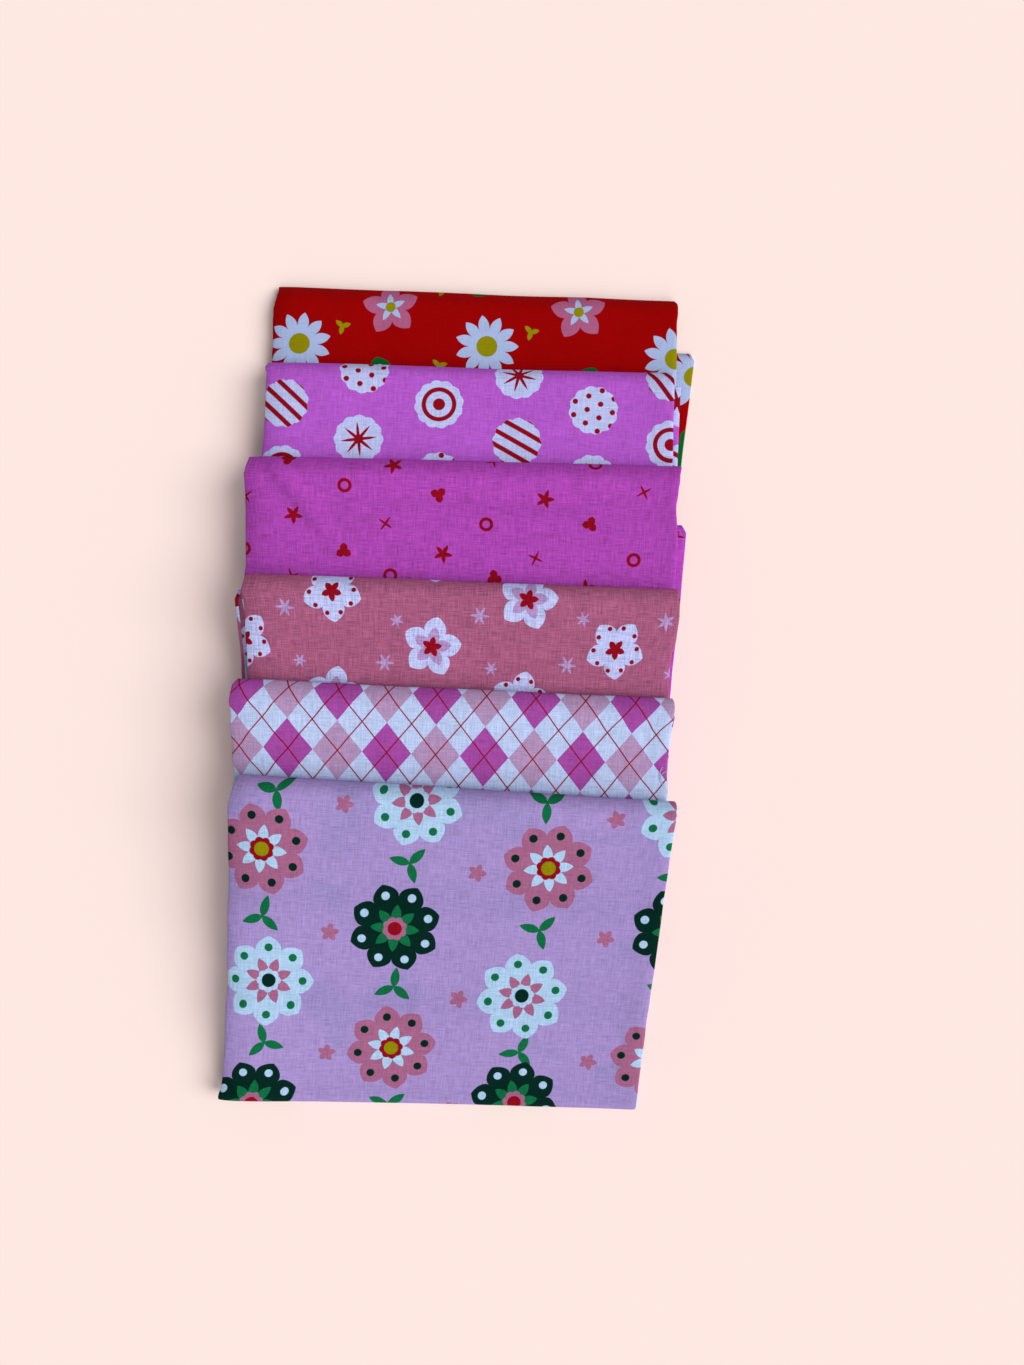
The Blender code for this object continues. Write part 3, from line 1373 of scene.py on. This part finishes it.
def fat_quarters() -> list[FatQuarter]:
    """The six fat quarters, from the back to the front."""
    return [
        FatQuarter(
            node="red_fat_quarter",
            finish=CottonFinish(GardenPrint("garden_print", Ink.DEEP_RED), slub=0.2),
            middle_x=6.54, back_y=150.6, turn=-2.22, width=150.0, lean=0.002, corner_inset=0.0,
            flap_short=19.4, flap_drift=8.3, flap_power=1.15, droop_run=31.0, shown=31.0,
            seed=1, inner_slips=(0.4, -0.6, 0.3),
            edges=(
                Edge(0.0, 0.1, -0.4), Edge(2.5, -0.4, 0.3), Edge(6.0, 0.0, 0.2), Edge(10.5, 0.9, -0.2),
                Edge(18.0, 0.5, 0.1), Edge(27.0, 0.5, 0.2),
            ),
            creases=(
                Crease((-38.0, -4.0), (-35.0, 34.0), 4.5, -0.6),
                Crease((38.0, -6.0), (46.0, 30.0), 6.0, 0.35),
            ),
        ),
        FatQuarter(
            node="orchid_fat_quarter",
            finish=CottonFinish(MedallionPrint("medallion_print", Ink.ORCHID)),
            middle_x=4.6, back_y=119.5, turn=-1.81, width=147.9, lean=-0.01, corner_inset=0.2,
            flap_short=12.0, flap_drift=0.8, droop_run=35.0, shown=35.0,
            seed=2, inner_slips=(0.4, 2.6, 0.3), left_sag=(1.0, 16.0),
            edges=(
                Edge(0.0, 1.2, 0.2), Edge(2.6, 1.7, 0.1), Edge(5.0, 0.7, 0.2), Edge(20.0, 0.5, 0.3),
                Edge(36.0, 0.6, 0.6),
            ),
            creases=(
                Crease((12.0, -4.0), (9.0, 40.0), 7.0, -0.35),
                Crease((-58.0, 4.0), (-40.0, 30.0), 5.0, 0.3),
                Crease((-120.0, 3.5), (120.0, 3.5), 2.4, 0.6),
                Crease((75.0, -20.0), (75.0, 60.0), 10.0, 1.2),
            ),
        ),
        FatQuarter(
            node="magenta_fat_quarter",
            finish=CottonFinish(SparklePrint("sparkle_print", Ink.MAGENTA), slub=0.6),
            middle_x=2.41, back_y=82.8, turn=-1.52, width=151.7, lean=0.004, corner_inset=0.0,
            flap_short=21.0, flap_drift=4.6, flap_power=1.3, droop_run=43.0, shown=44.0,
            seed=3, inner_slips=(0.4, -0.5, 0.3), left_sag=(1.8, 16.0), ply_columns=(96, 96, 20),
            edges=(
                Edge(0.0, 1.8, 2.0), Edge(5.5, 2.4, 0.9), Edge(11.0, 2.1, 0.2), Edge(16.0, 1.6, -0.5),
                Edge(27.0, 1.4, 0.1), Edge(42.0, 0.8, -0.3),
            ),
            creases=(
                Crease((-79.0, -5.0), (-44.0, 39.0), 3.0, -0.9),
                Crease((-75.5, -7.8), (-40.5, 36.2), 3.0, 0.9),
                Crease((-76.0, 6.0), (-75.0, 34.0), 2.6, -0.6),
                Crease((-40.0, 14.0), (66.0, 16.5), 3.2, -0.8),
                Crease((-90.0, 6.5), (90.0, 6.5), 4.0, 0.8),
                Crease((76.0, -20.0), (76.0, 70.0), 4.0, 0.6),
            ),
        ),
        FatQuarter(
            node="dusty_rose_fat_quarter",
            finish=CottonFinish(BloomPrint("bloom_print", Ink.DUSTY_ROSE), slub=0.7),
            middle_x=1.93, back_y=38.3, turn=-2.12, width=150.6, lean=-0.002, corner_inset=0.3,
            flap_short=5.6, flap_drift=-4.6, flap_power=1.8, droop_run=34.0, shown=36.0,
            seed=4, inner_slips=(0.3, -0.4, 0.2), left_sag=(0.6, 9.0),
            edges=(
                Edge(0.0, 0.2, 0.4), Edge(3.0, 0.3, 0.1), Edge(6.5, 0.9, 0.5), Edge(10.0, 0.0, 0.7),
                Edge(17.0, -0.2, 0.3), Edge(23.0, -0.2, -0.9), Edge(28.0, -0.5, -1.2),
                Edge(34.0, -0.9, -1.2), Edge(40.0, -1.2, -1.2),
            ),
            creases=(
                Crease((-25.0, -8.0), (-25.5, 60.0), 2.6, -0.4),
                Crease((18.0, 30.0), (58.0, 12.0), 5.0, -0.35),
            ),
        ),
        FatQuarter(
            node="harlequin_fat_quarter",
            finish=CottonFinish(HarlequinPrint("harlequin_print", Ink.COOL_WHITE, (0.0, 10.5)), slub=0.44),
            middle_x=-0.70, back_y=0.9, turn=-2.63, width=151.7, lean=0.0, corner_inset=0.3,
            flap_short=14.0, flap_drift=-0.7, droop_run=33.0, shown=34.0,
            seed=5, inner_slips=(0.4, 0.6, -0.3),
            edges=(
                Edge(0.0, -0.3, 0.8), Edge(3.0, 1.0, 1.0), Edge(8.5, 1.7, 0.6), Edge(11.0, 1.2, -0.1),
                Edge(18.0, 1.5, 0.0), Edge(23.0, 0.8, -0.2), Edge(28.0, 1.0, -0.1), Edge(33.0, 0.0, 0.4),
                Edge(58.0, 0.0, -0.8), Edge(88.0, 0.0, -3.4),
            ),
            creases=(
                Crease((-70.0, 24.0), (-30.0, 30.0), 4.0, 0.3),
                Crease((66.0, 2.0), (70.0, 30.0), 3.5, -0.4),
            ),
        ),
        FatQuarter(
            node="lilac_fat_quarter",
            finish=CottonFinish(BlossomPrint("blossom_print", Ink.LILAC)),
            middle_x=-0.19, back_y=-33.44, turn=-3.65, width=151.5, lean=-0.027, corner_inset=0.5,
            front_turn=2.1, flap_short=12.5, shown=200.0,
            seed=6, inner_slips=(0.3, -0.4, 0.4), left_sag=(1.2, 9.0),
            edges=(
                Edge(0.0, -1.0, 1.1), Edge(4.0, 0.1, 1.1), Edge(12.0, 1.5, 0.7), Edge(22.0, 1.1, 0.3),
                Edge(45.0, -0.2, -0.3), Edge(62.0, -0.6, -0.2), Edge(73.0, -1.5, -0.5),
                Edge(82.0, -1.7, -1.1), Edge(90.0, -1.5, -0.8), Edge(110.0, -0.8, -0.7),
                Edge(117.0, 0.3, -0.7),
            ),
            creases=(
                Crease((-130.0, 2.5), (130.0, 2.5), 6.0, 1.7),
                Crease((-92.0, 20.0), (-92.0, 190.0), 40.0, 5.0),
                Crease((76.0, -20.0), (73.0, 140.0), 6.0, 0.8),
                Crease((-70.0, 40.0), (-20.0, 56.0), 7.0, 0.35),
                Crease((30.0, 96.0), (62.0, 104.0), 6.0, -0.5),
                Crease((-46.0, -4.0), (-30.0, 26.0), 6.0, -0.35),
                Crease((24.0, 12.0), (60.0, 30.0), 7.0, 0.3),
            ),
        ),
    ]


def main() -> None:
    """Builds the stack and the studio round it."""
    logging.basicConfig(level=logging.INFO)
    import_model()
    bpy.context.scene.view_settings.view_transform = "Standard"
    threads = {
        "harlequin_fat_quarter": (
            LooseThread("loose_thread_long", across=78.4, along=27.0, bend=5.2, start=145.0, arc=82.0),
            LooseThread("loose_thread_short", across=75.6, along=27.6, bend=1.9, start=60.0, arc=150.0),
        )
    }
    Stack(fat_quarters(), threads).build(PrintTools())
    Studio().build()


if __name__ == "__main__":
    main()
